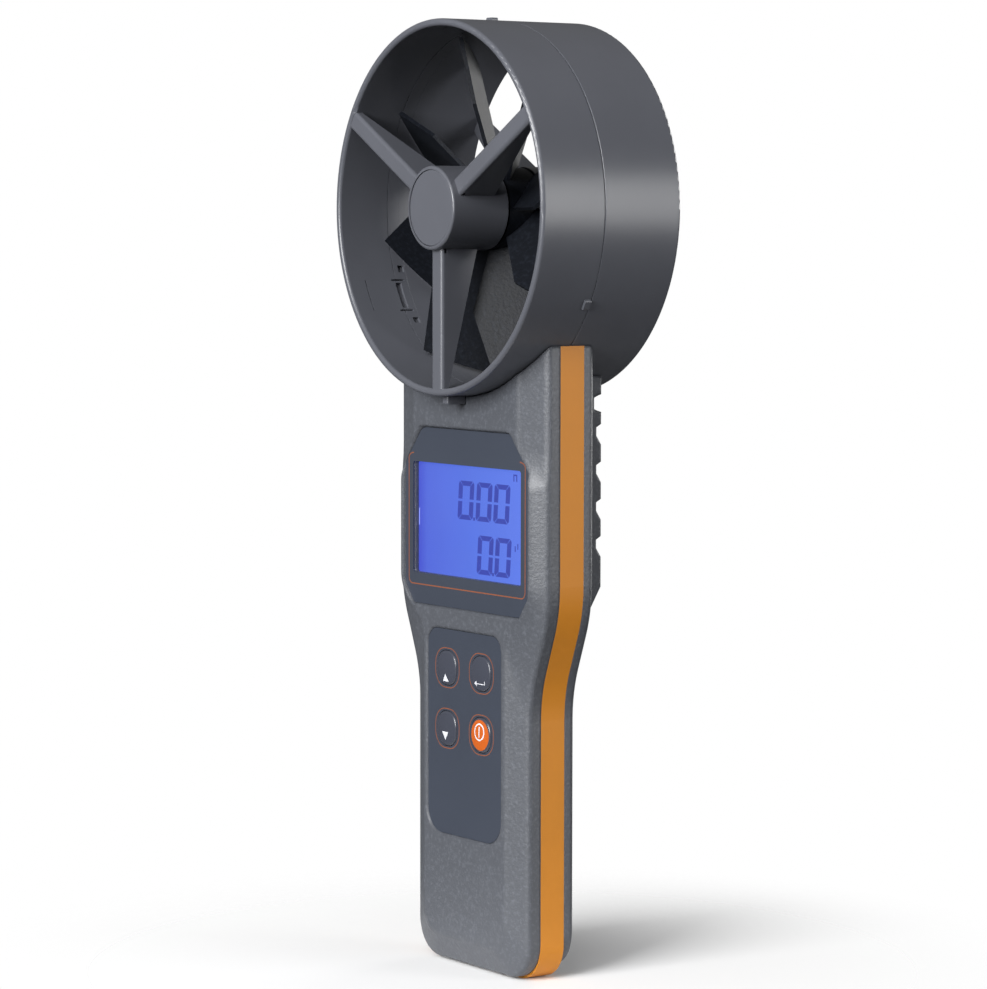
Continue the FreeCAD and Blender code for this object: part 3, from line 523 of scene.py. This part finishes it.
def keySymbol(key, body, outlines):
    low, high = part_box(key)
    middle = (low + high) / 2

    def dome(x, z):
        across = (x - middle.x) ** 2 + (z - middle.z) ** 2
        return low.y + domeRadius - math.sqrt(domeRadius ** 2 - across)

    addSlabs(key + "_symbol", scaled(outlines, middle.x, middle.z), dome, symbolInk, body,
             cuts=3)


for key, (body, outlines) in symbols.items():
    keySymbol(key, body, outlines)

digit = {"wide": 7.8, "tall": 11.1, "upright": 2.05, "level": 1.4, "gap": 0.35, "lean": 0.08, "mitre": 0.75,
         "shoulder": 0.85, "tip": (0.5, 0.2), "join": (0.05, 0.12)}
digitRows = [{"low": 129.3, "lefts": (-7.2, 2.0, 10.9), "point": 0.85},
             {"low": 114.2, "lefts": (2.6, 11.5), "point": 10.45}]
pointSize = 0.9
unitMark = {"places": ((21.0, 141.6), (22.4, 141.6), (21.7, 121.9), (23.0, 122.6)), "wide": 0.45, "tall": 1.6}
unitBar = {"place": (21.0, 143.2), "wide": 1.85, "tall": 0.4}


def zeroDigit(left, low):
    # Six lit segments of a seven-segment nought, mitred at the corners and leaning a little to the right.
    upright, gap, mitre, tip, join = (digit[key] for key in ("upright", "gap", "mitre", "tip", "join"))
    right, high, middle = left + digit["wide"], low + digit["tall"], low + digit["tall"] / 2
    bars = []
    for edge, way in ((high, -1), (low, 1)):
        inside = edge + way * digit["level"]
        bars.append([(left + mitre, edge), (right - mitre, edge), (right - upright - join[0], inside),
                     (left + upright + join[0], inside)])
        for outer, turn in ((left, 1), (right, -1)):
            inner = outer + turn * upright
            bars.append([(outer, middle - way * gap), (outer, edge + way * digit["shoulder"]),
                         (outer + turn * tip[0], edge + way * tip[1]), (inner, inside + way * join[1]),
                         (inner, middle - way * gap)])
    return [[(x + (z - low) * digit["lean"], z) for x, z in bar] for bar in bars]


def bar(x, z, wide, tall):
    return [(x, z), (x, z + tall), (x + wide, z + tall), (x + wide, z)]


def displayDigits():
    bars = []
    for row in digitRows:
        for left in row["lefts"]:
            bars += zeroDigit(left, row["low"])
    bars += [bar(row["point"], row["low"], pointSize, pointSize) for row in digitRows]
    bars += [bar(x, z, unitMark["wide"], unitMark["tall"]) for x, z in unitMark["places"]]
    bars.append(bar(*unitBar["place"], unitBar["wide"], unitBar["tall"]))
    addSlabs("display_digits", scaled(bars), flatOn("lcd_panel"), segmentBlue, "housing")


displayDigits()

leakLine = {"left": -27.25, "low": 126.3, "wide": 0.35, "tall": 4.9}


def lightLeak():
    # A thin line of stray backlight at the panel's left end.
    line = bar(leakLine["left"], leakLine["low"], leakLine["wide"], leakLine["tall"])
    addSlabs("display_light_leak", scaled([line]), flatOn("lcd_panel"), leakBlue, "housing")


lightLeak()
print("printed lines, symbols and digits made")
